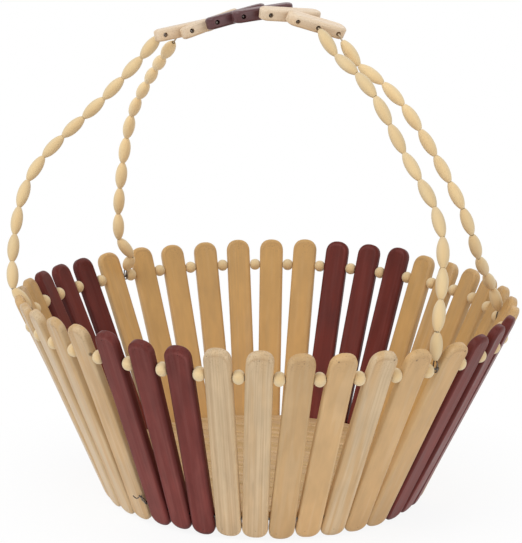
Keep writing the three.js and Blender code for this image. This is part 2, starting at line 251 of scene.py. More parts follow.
def new_piece(name, surface, material, facts=None, sharp_angle=40):
    """An object from points and faces, with its material, smooth faces with corners kept sharp,
    and facts about each vertex for the material to read."""
    piece = new_object(name, *surface)
    mesh = piece.data
    mesh.materials.append(material)
    mesh.polygons.foreach_set("use_smooth", [True] * len(mesh.polygons))
    mesh.set_sharp_from_angle(angle=math.radians(sharp_angle))
    for label, values in (facts or {}).items():
        values = np.asarray(values, np.float32)
        kind, field = ("FLOAT", "value") if values.ndim == 1 else ("FLOAT_VECTOR", "vector")
        mesh.attributes.new(label, kind, "POINT").data.foreach_set(field, values.ravel())
    mesh.update()
    return piece


def paint(red, green, blue):
    """A screen colour, 0 to 255, as the linear colour that a shader reads."""
    share = np.array([red, green, blue]) / 255
    linear = np.where(share <= 0.04045, share / 12.92, ((share + 0.055) / 1.055) ** 2.4)
    return (*linear.tolist(), 1.0)


def darker(colour, share):
    """A share of a colour."""
    return tuple(share * c for c in colour[:3]) + (1,)


def set_inputs(tree, node, inputs):
    """Each named input of a node, given a value or linked from a socket."""
    for key, value in inputs.items():
        if isinstance(value, bpy.types.NodeSocket):
            tree.links.new(value, node.inputs[key])
        else:
            node.inputs[key].default_value = value


def add_node(tree, kind, inputs=None, **settings):
    """A new node with its settings and inputs."""
    made = tree.nodes.new("ShaderNode" + kind)
    for key, value in settings.items():
        setattr(made, key, value)
    set_inputs(tree, made, inputs or {})
    return made


def mixed(tree, share, first, second):
    """The colour that lies a share of the way from the first colour to the second."""
    return add_node(tree, "Mix", {0: share, 6: first, 7: second}, data_type="RGBA").outputs[2]


def maths(tree, operation, first, second, clamped=True):
    """One arithmetic step on two numbers, kept between 0 and 1 if clamped."""
    inputs = {0: first, 1: second}
    return add_node(tree, "Math", inputs, operation=operation, use_clamp=clamped).outputs[0]


def times(tree, first, second):
    """Two numbers multiplied, kept between 0 and 1."""
    return maths(tree, "MULTIPLY", first, second)


def ramp(tree, value, low, high, start=0.0, end=1.0):
    """A value's range from low to high, spread over start to end."""
    inputs = {"Value": value, "From Min": low, "From Max": high, "To Min": start, "To Max": end}
    return add_node(tree, "MapRange", inputs).outputs[0]


def scaled(tree, vector, scale):
    """A place or a colour times a number."""
    inputs = {0: vector, "Scale": scale}
    return add_node(tree, "VectorMath", inputs, operation="SCALE").outputs[0]


def noise(tree, place, scale, detail, roughness):
    """Cloudy noise at a place, from 0 to 1."""
    inputs = {"Vector": place, "Scale": scale, "Detail": detail, "Roughness": roughness}
    return add_node(tree, "TexNoise", inputs).outputs["Fac"]


def new_group(name, inputs, outputs):
    """An empty shader group with named sockets: its tree, what comes in, and its output node."""
    tree = bpy.data.node_groups.new(name, "ShaderNodeTree")
    for label, kind, value in inputs:
        kind = "NodeSocket" + kind
        socket = tree.interface.new_socket(name=label, in_out="INPUT", socket_type=kind)
        if value is not None:
            socket.default_value = value
    for label in outputs:
        tree.interface.new_socket(name=label, in_out="OUTPUT", socket_type="NodeSocketFloat")
    return tree, tree.nodes.new("NodeGroupInput").outputs, tree.nodes.new("NodeGroupOutput")


def use_group(tree, group, inputs):
    """A group placed in a material, with its own values."""
    return add_node(tree, "Group", inputs, node_tree=group).outputs


def grain_group():
    """Straight wood grain. Noise drawn out along the grain gives fine lines, short pores, broad
    bands and a cloudy figure, by a place in the wood: across the grain, along it, and through the
    board, in metres."""
    inputs = [("Place", "Vector", None), ("Lines Per Metre", "Float", 900.0)]
    outputs = ["Lines", "Pores", "Bands", "Figure"]
    tree, given, result = new_group("straight_grain", inputs, outputs)
    # For each: how the noise is stretched, its scale and detail, and the range of it that is used.
    layers = [("Lines", (1, 0.008, 1), given["Lines Per Metre"], 2.0, 0.36, 0.66),
              ("Pores", (1, 0.06, 1), given["Lines Per Metre"], 1.0, 0.62, 0.76),
              ("Bands", (1, 0.06, 0.4), 260.0, 1.0, 0.36, 0.62),
              ("Figure", (1, 0.3, 1), 140.0, 2.0, 0.3, 0.7)]
    for label, stretch, scale, detail, low, high in layers:
        inputs = {0: given["Place"], 1: stretch}
        drawn = add_node(tree, "VectorMath", inputs, operation="MULTIPLY").outputs[0]
        cloud = noise(tree, scaled(tree, drawn, scale), 1.0, detail, 0.55)
        set_inputs(tree, result, {label: ramp(tree, cloud, low, high)})
    return tree


def speck_group():
    """Open end grain and dirt: small dark specks, where noise by a place in the wood is high."""
    inputs = [("Place", "Vector", None), ("Specks Per Metre", "Float", 1100.0)]
    tree, given, result = new_group("specks", inputs, ["Specks"])
    sized = scaled(tree, given["Place"], given["Specks Per Metre"])
    cloud = noise(tree, sized, 1.0, 2.0, 0.6)
    set_inputs(tree, result, {"Specks": ramp(tree, cloud, 0.56, 0.68)})
    return tree


def nail_group():
    """The mark of a fine nail: a dark spot with a dented ring, by the way from its middle."""
    inputs = [("Way", "Vector", None), ("Radius", "Float", 0.0006)]
    tree, given, result = new_group("nail_mark", inputs, ["Spot", "Dent"])
    distance = add_node(tree, "VectorMath", {0: given["Way"]}, operation="LENGTH").outputs["Value"]
    share = maths(tree, "DIVIDE", distance, given["Radius"], clamped=False)
    set_inputs(tree, result, {"Spot": ramp(tree, share, 0.5, 1.1, 1.0, 0.0),
                              "Dent": ramp(tree, share, 0.9, 2.4, 1.0, 0.0)})
    return tree


straight_grain = grain_group()
specks = speck_group()
nail_mark = nail_group()


def new_material(name):
    """A new material, its node tree and its Principled shader."""
    material = bpy.data.materials.new(name)
    material.use_nodes = True
    return material, material.node_tree, material.node_tree.nodes["Principled BSDF"]


def lacquered_wood(name, outer, pale, inner, line, border, crease, dull, gloss, mottle=0.09,
                   border_share=0.4, line_width=0.0011):
    """Lacquered wood, by its screen colour on the outer and inner face, in paler bands, in the
    grain's lines, on the rounded border and along the crease inside it. The outer and inner
    colours differ partly as painted shade and painted reflection, and the border and crease are
    painted highlight and painted shade. Facts on each vertex say where it lies in the wood
    (wood_place), the stick's tone, painted lighter towards a slat's foot and darker towards its
    top, how streaked it is and how near its inner face (stick_kind), how pale, how far in from the
    outline and how near an end (stick_look), and where it lies from two nail marks."""
    material, tree, shader = new_material(name)
    outer, pale, inner, line, border, crease = (
        paint(*colour) for colour in (outer, pale, inner, line, border, crease))

    def fact(which):
        """A fact that new_piece put on each vertex."""
        return add_node(tree, "Attribute", attribute_name=which).outputs["Vector"]

    place = fact("wood_place")
    tone, streaked, inward = add_node(tree, "SeparateXYZ", {0: fact("stick_kind")}).outputs
    paleness, way_in, end = add_node(tree, "SeparateXYZ", {0: fact("stick_look")}).outputs
    grain = use_group(tree, straight_grain, {"Place": place, "Lines Per Metre": 1 / line_width})
    dirt = use_group(tree, specks, {"Place": place})["Specks"]
    nails = [use_group(tree, nail_mark, {"Way": fact(which)})
             for which in ("top_nail", "foot_nail")]
    spot, dent = [maths(tree, "MAXIMUM", nails[0][part], nails[1][part])
                  for part in ("Spot", "Dent")]

    # The outer and inner faces' colours, which differ partly as painted shade and painted
    # reflection; then the paler bands, grain lines and pores.
    colour = mixed(tree, inward, outer, inner)
    bands = maths(tree, "ADD", grain["Bands"], ramp(tree, paleness, 0.0, 1.0, -1.0, 1.0))
    bands = times(tree, bands, ramp(tree, inward, 0.4, 1.0, 1.0, 0.4))
    colour = mixed(tree, bands, colour, pale)
    lines = times(tree, grain["Lines"], streaked)
    colour = mixed(tree, lines, colour, line)
    pores = times(tree, grain["Pores"], times(tree, streaked, 0.3))
    colour = mixed(tree, pores, colour, darker(line, 0.5))
    # The rounded border and the crease where it meets the flat face, both painted light: a border
    # or crease paler than the face is a painted highlight, a darker one painted shade. The border
    # is weaker on the inner face and near the ends, the crease line stronger near the ends.
    rounded = ramp(tree, way_in, 0.2, 1.3, border_share, 0.0)
    rounded = times(tree, rounded, ramp(tree, inward, 0.4, 1.0, 1.0, 0.2))
    rounded = times(tree, rounded, ramp(tree, end, 0.0, 0.4, 1.0, 0.35))
    colour = mixed(tree, rounded, colour, border)
    creased = maths(tree, "MINIMUM", ramp(tree, way_in, 0.6, 1.0), ramp(tree, way_in, 1.5, 1.05))
    creased = times(tree, creased, ramp(tree, grain["Figure"], 0.2, 0.8, 0.2, 0.9))
    creased = times(tree, creased, ramp(tree, end, 0.0, 0.4, 0.1, 0.45))
    colour = mixed(tree, creased, colour, crease)
    # Dirt near the ends, the cloudy figure, the stick's own tone and the nail marks.
    colour = mixed(tree, times(tree, dirt, end), colour, darker(line, 0.6))
    figure = ramp(tree, grain["Figure"], 0, 1, 1 - mottle, 1 + 0.8 * mottle)
    colour = scaled(tree, colour, maths(tree, "MULTIPLY", figure, tone, clamped=False))
    colour = mixed(tree, times(tree, spot, 0.8), colour, darker(line, 0.2))
    height = maths(tree, "SUBTRACT", lines, dent, clamped=False)
    bump = add_node(tree, "Bump", {"Strength": 0.3, "Distance": 0.0003, "Height": height})
    set_inputs(tree, shader, {
        "Base Color": colour, "Specular IOR Level": gloss, "Normal": bump.outputs[0],
        "Roughness": ramp(tree, grain["Figure"], 0, 1, dull - 0.06, dull + 0.08)})
    return material


# On the light slats the warmer inner colour is partly painted shade of the light bounced inside
# the basket; on the brown slats the greyer outer colour is partly a painted reflection of the
# white table.
light_slat = lacquered_wood(
    "light_slat_wood", outer=(208, 171, 123), pale=(215, 190, 154), inner=(206, 163, 101),
    line=(176, 142, 104), border=(214, 186, 142), crease=(170, 130, 86), dull=0.42, gloss=0.3)
brown_slat = lacquered_wood(
    "brown_slat_wood", outer=(119, 59, 54), pale=(128, 72, 67), inner=(110, 46, 38),
    line=(84, 34, 32), border=(80, 32, 30), crease=(150, 86, 82), dull=0.4, gloss=0.12,
    mottle=0.16, border_share=0.7)

foot_angle = (np.arange(slat_count) - first_slat) * 2 * math.pi / slat_count
rim_place = slat_place(np.arange(slat_count))
slat_foot = sheet_point(foot_angle, 0.0)
slat_up = unit(rim_point(rim_place) - slat_foot)
slat_across = rim_direction(rim_place) + columns(-np.sin(foot_angle), np.cos(foot_angle), 0)
slat_across = unit(slat_across - (slat_across * slat_up).sum(1, keepdims=True) * slat_up)
slat_out = np.cross(slat_across, slat_up)

shape, outline_faces = stick_surface(slat_thickness, *slat_outline)
reach = slat_top_width
rods = [tube_surface([[-reach, height, 0], [reach, height, 0]], slat_hole_radius, (0, -1, 0), 12)
        for height in (base_hole_height, rim_hole_height)]
shape, slat_faces = drilled(shape, without_repeats(outline_faces), rods)
slat_border = border_way(shape[:, 1], shape[:, 0], *slat_outline)
slat_inner = np.clip(0.5 - shape[:, 2] / slat_thickness, 0, 1)
# The upper end takes up dirt, and there its painted border weakens and its painted crease line
# strengthens, from 13 mm below its tip and fully from 5 mm.
dirt_and_shading_reach, dirt_and_shading_fade, dirt_and_shading_share = 0.013, 0.008, 0.4
slat_end = dirt_and_shading_share * np.clip((shape[:, 1] - slat_length + dirt_and_shading_reach) / dirt_and_shading_fade, 0, 1)

# The sticks are set by hand, so some stand a little off their even place, in millimetres: along
# the rim, along the ring of feet, above the rim, and in from the top and the foot. Some feet are
# wider or narrower, in millimetres, and some slats are turned about their length, in degrees.
rim_drift = dict(zip(range(1, 12), (0.4, 0.4, 0.5, 0.7, 0.8, 2.6, 2.2, 1.8, 1.3, 0.8, 0.1)))
rim_drift.update(zip(range(16, 24), (-0.4, -0.9, -1.2, -0.9, -0.7, -0.4, -0.3, -0.4)))
foot_drift = dict(zip(range(9), (-1.0, -1.3, -1.5, -1.5, -1.5, -1.4, -1.1, -0.5, 0)))
foot_drift.update({17: 0.4, 34: 0.2, 35: 0.5, 36: 0.9, 37: 1.4, 38: 0.4, 39: -0.7})
crooked_top = {1: 0.7, 2: 0.4, 3: 0.9, 4: 1.5, 5: 0.9, 6: 1.4}
shorter_top = {2: 1.2, 3: 1.0, 4: 0.8, 5: 2.0, 6: 2.2, 7: 1.4, 15: 0.6, 16: 0.5, 17: -1.4,
               18: -0.8, 19: -0.5, 20: -0.6, 23: 0.8, 24: 0.8, 34: -0.9, 35: -0.8, 36: -1.0,
               37: -1.0, 38: 0.8, 39: 1.0}
shorter_foot = {0: 1.6, 1: 1.3, 3: 0.7, 36: 1.4, 37: 1.5, 38: 2.2, 39: 0.9}
wider_foot = {0: 0.3, 1: 0.3, 2: 0.3, 3: 0.3, 4: 0.3, 5: 0.3, 6: 0.2, 37: -0.6, 38: -0.6,
              39: -0.5}
turned = {3: 3, 4: 6, 5: 7, 6: 7, 7: 3}
bow_height = 0.0003
foot_cut_fade = 0.01
thickness_spread, width_spread, lean_spread = 0.02, 0.006, 1.0

# Each kind's material, how much lighter its foot is than its top, which is painted light and
# shade, how streaked and how pale it is, and the light slats that are more so.
light_kind = light_slat, 0.1, 0.08, 0.1
brown_kind = brown_slat, 0.24, 0.22, 0.3
streaked_slats = {0: 0.5, 1: 0.42, 4: 0.3, 11: 0.3, 15: 0.3, 22: 0.25, 26: 0.25, 33: 0.3,
                  36: 0.3}
# Slat 4's paleness is a painted highlight.
pale_slats = {0: 0.9, 1: 0.8, 4: 0.62, 31: 0.5, 33: 0.6, 34: 0.7, 35: 0.55, 36: 0.35, 15: 0.3}
tone_spread, tone_middle = 0.03, 0.45
wood_step = np.array([0.11, 0.7, 0.05])

# Dark spots near the tops, in millimetres across from the middle and down from the end. The other
# slats have a faint nail mark, whose middle lies a little under the face, and all have one near
# the foot, a little above the face. One slat's hole has broken out at its outer edge, and its mark
# is wider.
top_spots = {0: (-5.6, 3.4), 3: (-4.2, 3.0), 4: (4.6, 3.4), 5: (-3.4, 4.4), 6: (3.6, 3.4),
             16: (1.5, 5), 36: (7.8, 16.4)}
nail_drop, nail_depth = 4, 0.0004
broken_hole, broken_depth, broken_shrink = 36, 0.0006, 0.42
foot_nail_height, foot_nail_depth = 0.0055, -0.00045
nail_scatter = [0.0035, 0.0012]

rng = np.random.default_rng(7)
for n in range(slat_count):
    light = n % (light_run + brown_run) < light_run
    wood, painted_lighter_foot, streak, pale = light_kind if light else brown_kind
    bow, lean, thick, wide = rng.normal(0, 1, 4)
    x, y, z = shape.T
    up_share = (y - base_hole_height) / (rim_hole_height - base_hole_height)
    bowed = (y - base_hole_height) * (y - rim_hole_height) / (rim_hole_height / 2) ** 2
    z = z * (1 + thickness_spread * thick) + bow_height * bow * bowed
    roll = math.radians(lean_spread * lean + turned.get(n, 0))
    foot_growth = millimetre / 2 * wider_foot.get(n, 0) * (1 - y / slat_length)
    x = x * (1 + width_spread * wide) + np.sign(x) * foot_growth
    x, z = x * math.cos(roll) - z * math.sin(roll), x * math.sin(roll) + z
    above = np.clip((y - rim_hole_height) / (slat_length - rim_hole_height), 0, 1)
    drift = rim_drift.get(n, 0) * up_share + foot_drift.get(n, 0) * (1 - up_share)
    x = x + millimetre * (drift + crooked_top.get(n, 0) * above ** 1.5)
    y = y - millimetre * shorter_top.get(n, 0) * np.clip(2 * above, 0, 1)
    foot_share = np.clip((base_hole_height - y) / foot_cut_fade, 0, 1)
    y = y + millimetre * shorter_foot.get(n, 0) * foot_share
    points = slat_foot[n] + x[:, None] * slat_across[n] + y[:, None] * slat_up[n]
    points = points + z[:, None] * slat_out[n]
    name = ("light" if light else "brown") + f"_slat_{n + 1:02d}"
    nails = rng.uniform(-1, 1, (2, 2)) * nail_scatter
    spot = np.array(top_spots.get(n, (nails[0, 0] / millimetre, nail_drop)))
    spot = spot * [millimetre, -millimetre] + [0, slat_length]
    depth = broken_depth if n == broken_hole else 0 if n in top_spots else nail_depth
    shrink = broken_shrink if n == broken_hole else 1
    foot_spot = [nails[1, 0], foot_nail_height + nails[1, 1], slat_thickness / 2 - foot_nail_depth]
    # The tone varies at random, and is painted lighter towards the foot and darker towards the
    # top, as painted light and shade.
    tone = 1 + tone_spread * rng.normal() + painted_lighter_foot * (tone_middle - up_share)
    slat = new_piece(name, (points, slat_faces), wood, {
        "wood_place": shape + n * wood_step,
        "stick_kind": columns(tone, streaked_slats.get(n, streak), slat_inner),
        "stick_look": columns(pale_slats.get(n, pale), slat_border, slat_end),
        "top_nail": shrink * (shape - [*spot, slat_thickness / 2 - depth]),
        "foot_nail": shape - foot_spot,
    })
    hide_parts(f"slat_{n + 1:02d}")
    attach(slat, "basket")

# Rim wire
#
# One drawn steel wire runs edge to edge through the tops of all the slats and closes on itself. It
# is thinner than their holes, and is drawn up in them at the back of the basket.

rim_wire_radius = 0.0008
rim_wire_play = 0.0006
rise_growth = 1.4


def rim_rise(length):
    """How much higher than the middle of the slats' holes the rim wire lies: it grows with Y, from
    nothing at the handle's plane to the wire's whole play well before the back of the basket."""
    back = np.clip(rise_growth * rim_point(length)[..., 1:2] / rim_radius, 0, 1)
    return rim_wire_play * back * [0, 0, 1]


def steel_wire(name, bright, dull):
    """Bare drawn steel: grey metal with spots of dull oxide, by noise on the place."""
    material, tree, shader = new_material(name)
    place = add_node(tree, "TexCoord").outputs["Object"]
    spots = ramp(tree, noise(tree, place, 900.0, 3.0, 0.6), 0.42, 0.68)
    set_inputs(tree, shader, {
        "Base Color": mixed(tree, spots, paint(*bright), paint(*dull)), "Metallic": 0.9,
        "Roughness": ramp(tree, spots, 0, 1, 0.32, 0.6)})
    return material


# Its colours are darkened, partly for its own oxide and partly as painted shade, so that it reads
# as the shade in the gaps between the slats' feet.
wire_metal = steel_wire("drawn_steel_wire", (120, 112, 106), (64, 54, 46))
lengths = np.linspace(0, rim_length, 480, endpoint=False)
rim_wire = new_piece("rim_wire", tube_surface(
    rim_point(lengths) + rim_rise(lengths), rim_wire_radius, (0, 0, 1), closed=True), wire_metal)
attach(rim_wire, "basket")

# Rim beads
#
# A small turned wooden bead, barrel shaped with soft shoulders, is threaded on the rim wire in
# each gap. In the four gaps that hold a strand's hook it is pushed to one side.

rim_bead_radius = 0.0044
rim_bead_hole = 0.0011
hook_sides = {5: 1, 11: -1, 25: 1, 31: -1}
# The bead beside the first hook hasn't moved along with its slats, apart from this much.
first_hook_shift = 0.0006
# At the back the beads are held higher by half than the wire's own rise, and are a tenth thinner.
bead_rise = 1.5
back_thinning = 0.1


def gap_place(k):
    """The middle of the gap after slat k, along the rim wire: on from the slat by half of a slat,
    a gap and a hook's room."""
    room = np.isin(k, hook_gaps) * hook_width
    return slat_place(k) + (rim_slat_width + rim_gap + room) / 2


def bead_place(k):
    """The middle of the bead in the gap after slat k, half a hook's width off the gap's middle
    where a hook shares the gap."""
    side = np.array([hook_sides.get(int(n), 0) for n in np.atleast_1d(k)])
    return gap_place(k) - side * hook_width / 2


def even_shares(count):
    """Shares of a bead's length from 0 to 1, closer together towards its ends, as a cosine."""
    return (1 - np.cos(np.linspace(0, math.pi, count))) / 2


def bead_surfaces(starts, ends, reference, shares, radii, hole, spins, swell):
    """Turned beads with a hole through them, each between two points. The outside is a profile of
    radii at shares of the length, turned about the bead's axis, and it comes back as the hole.
    What comes out is the points, the faces, each point's place in the wood, and the number of
    points in a bead."""
    sides = 20
    lip = 0.75
    along = ends - starts
    way = unit(along)
    normal = unit(reference - (reference * way).sum(-1, keepdims=True) * way)
    side = np.cross(way, normal)
    shares = np.concatenate([shares, [shares[-1], shares[-1], shares[0], shares[0]]])
    lips = lip * radii[[-1, 0]] + (1 - lip) * hole
    outside = len(radii)
    radii = np.concatenate([radii, [lips[0], hole, hole, lips[1]]])[None, :, None, None]
    radii = radii * np.ones((len(starts), 1, 1, 1))
    radii[:, :outside] *= swell[:, None, None, None]
    turn = (2 * math.pi * np.arange(sides) / sides)[None, :] + spins[:, None]
    ring = np.cos(turn)[..., None] * normal[:, None] + np.sin(turn)[..., None] * side[:, None]
    centre = starts[:, None] + shares[None, :, None] * along[:, None]
    points = centre[:, :, None] + radii * ring[:, None]
    count, rings = points.shape[:2]
    each = rings * sides
    faces = (np.arange(count) * each)[:, None, None] + band_faces(rings, sides, closed=True)
    lengths = np.linalg.norm(along, axis=-1)[:, None, None]
    local = columns(radii[..., 0] * np.cos(turn)[:, None], shares[None, :, None] * lengths,
                    radii[..., 0] * np.sin(turn)[:, None])
    return points.reshape(-1, 3), faces.reshape(-1, 4).tolist(), local.reshape(-1, 3), each


def bead_wood(name, pale, line, sheen_colour):
    """Pale turned wood under satin lacquer: soft grain along the bead, a tone for each bead, and a
    painted sheen, a milky paler colour where the bead is seen on the slant."""
    material, tree, shader = new_material(name)
    pale, line, sheen_colour = paint(*pale), paint(*line), paint(*sheen_colour)
    place = add_node(tree, "Attribute", attribute_name="wood_place").outputs["Vector"]
    tone = add_node(tree, "Attribute", attribute_name="bead_tone").outputs["Fac"]
    grain = use_group(tree, straight_grain, {"Place": place, "Lines Per Metre": 500.0})
    colour = mixed(tree, times(tree, grain["Lines"], 0.12), pale, line)
    colour = mixed(tree, times(tree, grain["Bands"], 0.3), colour, line)
    # A painted sheen: the colour turns milky paler where the bead is seen on the slant.
    slant = add_node(tree, "LayerWeight", {"Blend": 0.45}).outputs["Facing"]
    colour = mixed(tree, times(tree, slant, 0.75), colour, sheen_colour)
    figure = ramp(tree, grain["Figure"], 0, 1, 0.96, 1.03)
    colour = scaled(tree, colour, maths(tree, "MULTIPLY", figure, tone, clamped=False))
    set_inputs(tree, shader, {
        "Base Color": colour, "Specular IOR Level": 0.2,
        "Roughness": ramp(tree, grain["Figure"], 0, 1, 0.5, 0.6)})
    return material


turned_bead = bead_wood("turned_bead_wood", (230, 203, 155), (214, 176, 124), (226, 214, 186))


def new_beads(name, surfaces, tones):
    """A string of beads as one piece. Each is cut from another place in the wood, and has a tone
    of its own."""
    points, faces, local, each = surfaces
    number = np.repeat(np.arange(len(tones)), each)
    facts = {"wood_place": local + number[:, None] * [0.13, 0.31, 0.07],
             "bead_tone": np.repeat(tones, each)}
    return new_piece(name, (points, faces), turned_bead, facts, sharp_angle=50)


# A bead stands midway between its slats, give or take a fifth of the play. It takes up eight
# tenths of the play at its ends, or less where its slats have drifted together.
play_kept, play_taken, play_wander = 0.9, 0.8, 0.2
barrel_bend, barrel_shoulder = 0.86, 0.08
drift = np.array([rim_drift.get(n, 0) for n in range(slat_count + 1)])
middle = bead_place(np.arange(slat_count)) + millimetre / 2 * (drift[:-1] + drift[1:])
middle[hook_gaps[0]] = bead_place(hook_gaps[0])[0] + first_hook_shift
direction = rim_direction(middle)
slack = rng.uniform(-1, 1, (slat_count, 1)) * rim_bead_play
room = rim_bead_length / 2 + play_kept * rim_bead_play + millimetre / 2 * np.diff(drift)
bead_half = np.minimum(room, rim_bead_length / 2 + play_taken * rim_bead_play)[:, None]
rise = rim_rise(middle)
starts = rim_point(middle) + bead_rise * rise + direction * (play_wander * slack - bead_half)
ends = starts + direction * 2 * bead_half
shares = even_shares(15)
from_middle = np.abs(2 * shares - 1)
barrel = np.sqrt(1 - (barrel_bend * from_middle) ** 2) - barrel_shoulder * from_middle ** 12
spins = rng.uniform(0, 6, slat_count)
swell = rng.uniform(0.97, 1.0, slat_count) * (1 - back_thinning * rise[:, 2] / rim_wire_play)
surfaces = bead_surfaces(
    starts, ends, (0, 0, 1), shares, rim_bead_radius * barrel, rim_bead_hole, spins, swell)
rim_beads = new_beads("rim_beads", surfaces, rng.normal(1, 0.02, slat_count))
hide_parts("rim_wire_with_beads")
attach(rim_beads, "basket")

# Base wire
#
# A second, thinner wire runs through the slats just above their feet. Its two ends come out
# through one gap, are twisted together, bent aside over the next slat and snipped off a little
# apart.

base_wire_radius = 0.0007
tail_gap = 36
tail_shift = 0.001
tail_wire_radius = 0.00034
tail_bend = 0.00425
tail_reach = 0.007
tail_swing = 0.0046
tail_rise = 0.0052
tail_twists = 1.8
tail_points = 90
twist_width, twist_swell = 1.05, 0.6
# For each end: its turn in the twist, how far it parts from the other aside and upwards, how far
# it sags on the way, and how many points of the tail it keeps.
tail_ends = [(0.0, 0.0016, -0.0006, 0.0016, 90), (math.pi, -0.0022, 0.0004, 0.0, 78)]


def part_way(share, first, last):
    """How much of the stretch from one share to another is passed, 0 to 1."""
    return np.clip((share - first) / (last - first), 0, 1)


turn = np.linspace(0, 2 * math.pi, 320, endpoint=False)
base_wire = new_piece("base_wire_ring", tube_surface(
    sheet_point(turn, base_hole_height), base_wire_radius, (0, 0, 1), closed=True), wire_metal)
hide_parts("base_wire")
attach(base_wire, "basket")

# The tail goes straight out to its bend, then on out and aside, and rises meanwhile. Its two wires
# wind about that line, and part near its end.
tail_angle = (tail_gap - first_slat + 0.5) * 2 * math.pi / slat_count
tail_out = np.array([math.cos(tail_angle), math.sin(tail_angle), 0])
tail_aside = np.array([math.sin(tail_angle), -math.cos(tail_angle), 0])
tail_root = sheet_point(tail_angle, base_hole_height) - tail_shift * tail_aside
share = np.linspace(0, 1, tail_points)[:, None]
out = part_way(share, 0, 5 / 11) * tail_bend
out = out + part_way(share, 0.4, 1) * (tail_reach - tail_bend)
aside = part_way(share, 0.3, 1) ** 1.5
rise = np.sin(part_way(share, 0.2, 0.7) * math.pi / 2) ** 1.5
spine = tail_root + out * tail_out + aside * tail_swing * tail_aside + rise * [0, 0, tail_rise]
along = unit(np.gradient(spine, axis=0))
flat = unit(np.cross(along, [0, 0, 1]))
upright = np.cross(flat, along)
splay = part_way(share, 0.6, 1)
spread = tail_wire_radius * (twist_width + twist_swell * np.sin(math.pi * share)) * (1 - splay)
for number, (phase, parting, lift, sag, kept) in enumerate(tail_ends):
    twist = 2 * math.pi * tail_twists * share + phase
    path = spine + spread * (np.cos(twist) * flat + np.sin(twist) * upright)
    path = path + splay * (parting * tail_aside + [0, 0, lift])
    path = path - sag * np.sin(math.pi * splay) * [0, 0, 1]
    tail = new_piece(f"base_wire_end_{number + 1}", tube_surface(
        path[:kept], tail_wire_radius, tail_out, sides=8), wire_metal)
    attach(tail, "basket")

# Floor
#
# Twelve thin boards lie side by side inside the slats, cut to an oval that wedges in their flare.
# They are the slats' own pale wood, planed, with softly broken edges.

floor_height = 0.012
floor_thickness = 0.005
floor_clearance = 0.0003
board_count = 12
board_gap = 0.0006
board_edge = 0.0005
# The outer boards' outer sides are cut straight, this far in from the oval's end.
straight_cut = 0.0015
board_tones, board_streak, board_pale, board_dirt = 0.04, 0.22, 0.45, 0.35
# How far in from a border the wood shows none of it, in widths of its rounding.
far_in = 2.0

outline_angle = np.linspace(-math.pi, math.pi, 721)
tilt = slat_tilt + tilt_swing * np.cos(2 * (outline_angle - oval_turn))
outline_radius = foot_radius + floor_height * np.tan(tilt)
outline_radius = outline_radius - slat_thickness / 2 / np.cos(tilt) - floor_clearance
outline_x = outline_radius * np.cos(outline_angle)
outline_y = outline_radius * np.sin(outline_angle)


def board_end(y, end):
    """How far a board reaches along X at each y, from the oval's outline on one side."""
    order = np.argsort(outline_y[end])
    return np.interp(y, outline_y[end][order], outline_x[end][order])


floor_wood = lacquered_wood(
    "floor_board_wood", outer=(200, 168, 118), pale=(212, 180, 138), inner=(200, 168, 118),
    line=(172, 136, 96), border=(150, 116, 78), crease=(200, 168, 124), dull=0.5, gloss=0.25)

# A board's cross-section, four quarter circles at its corners, is carried from end to end along X.
board_width = 2 * foot_radius / board_count
corner = np.linspace(0, math.pi / 2, 4)
sine, cosine = board_edge * np.sin(corner), board_edge * np.cos(corner)
one_z = np.concatenate([cosine - board_edge, board_edge - floor_thickness - sine,
                        board_edge - floor_thickness - cosine, sine - board_edge])
one_z = one_z + floor_height + floor_thickness
along = np.linspace(0, 1, 9)[:, None]
for number in range(board_count):
    low = (number - board_count / 2) * board_width + board_gap / 2
    high = low + board_width - board_gap
    low = max(low, outline_y.min() + straight_cut) + board_edge
    high = min(high, outline_y.max() - straight_cut) - board_edge
    one_y = np.concatenate([high + sine, high + cosine, low - sine, low - cosine])
    x = board_end(one_y, outline_x < 0) * (1 - along) + board_end(one_y, outline_x > 0) * along
    points = columns(x, one_y, one_z)
    rings, around = x.shape
    i = np.arange(around)
    faces = band_faces(rings, around)[:, [1, 0, 3, 2]].tolist()
    faces += [i.tolist(), ((rings - 1) * around + i[::-1]).tolist()]
    points = points.reshape(-1, 3)
    board = new_piece(f"floor_board_{number + 1:02d}", (points, faces), floor_wood, {
        "wood_place": points[:, [1, 0, 2]] + number * np.array([0.2, 0.9, 0]),
        "stick_kind": columns(1 + board_tones * rng.normal(), board_streak, 0 * points[:, 0]),
        "stick_look": columns(board_pale, far_in + 0 * points[:, 0], board_dirt),
        "top_nail": np.ones_like(points),
        "foot_nail": np.ones_like(points),
    })
    if number == board_count // 2:
        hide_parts("floor_boards")
    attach(board, "basket")

# Grip
#
# Six short flat sticks lie slantwise side by side in an uneven arch, light at both ends and brown
# in the middle. Each is tipped by an angle of its own, and drilled through its narrow sides in
# three places for the cross pins.

stick_count = 6
stick_length = 0.039
stick_thickness = 0.0075
stick_rounding = 0.0015
stick_end_share = 0.3
stick_pitch = 0.0177
stick_turn = math.radians(39)
stick_gap = 0.0009
stick_hole_radius = 0.0015
stick_tips = np.radians([-10, -20, -14, -6, 9, 25])
brown_sticks = (2, 3)
# The sticks' end share sets their dirt specks, and also how weak their painted border and how
# strong their painted crease line are.
stick_tones, stick_streak, stick_pale, stick_dirt_and_shading = 0.03, 0.35, 0.4, 0.25
grip_roll = math.radians(4.2)
first_stick_x = -0.0554
first_stick_rise = 0.1797
stick_width = stick_pitch * math.sin(stick_turn) - stick_gap
hole_pitch = stick_pitch * math.cos(stick_turn)
rim_height = float(sheet_point(0.0, rim_hole_height)[2])

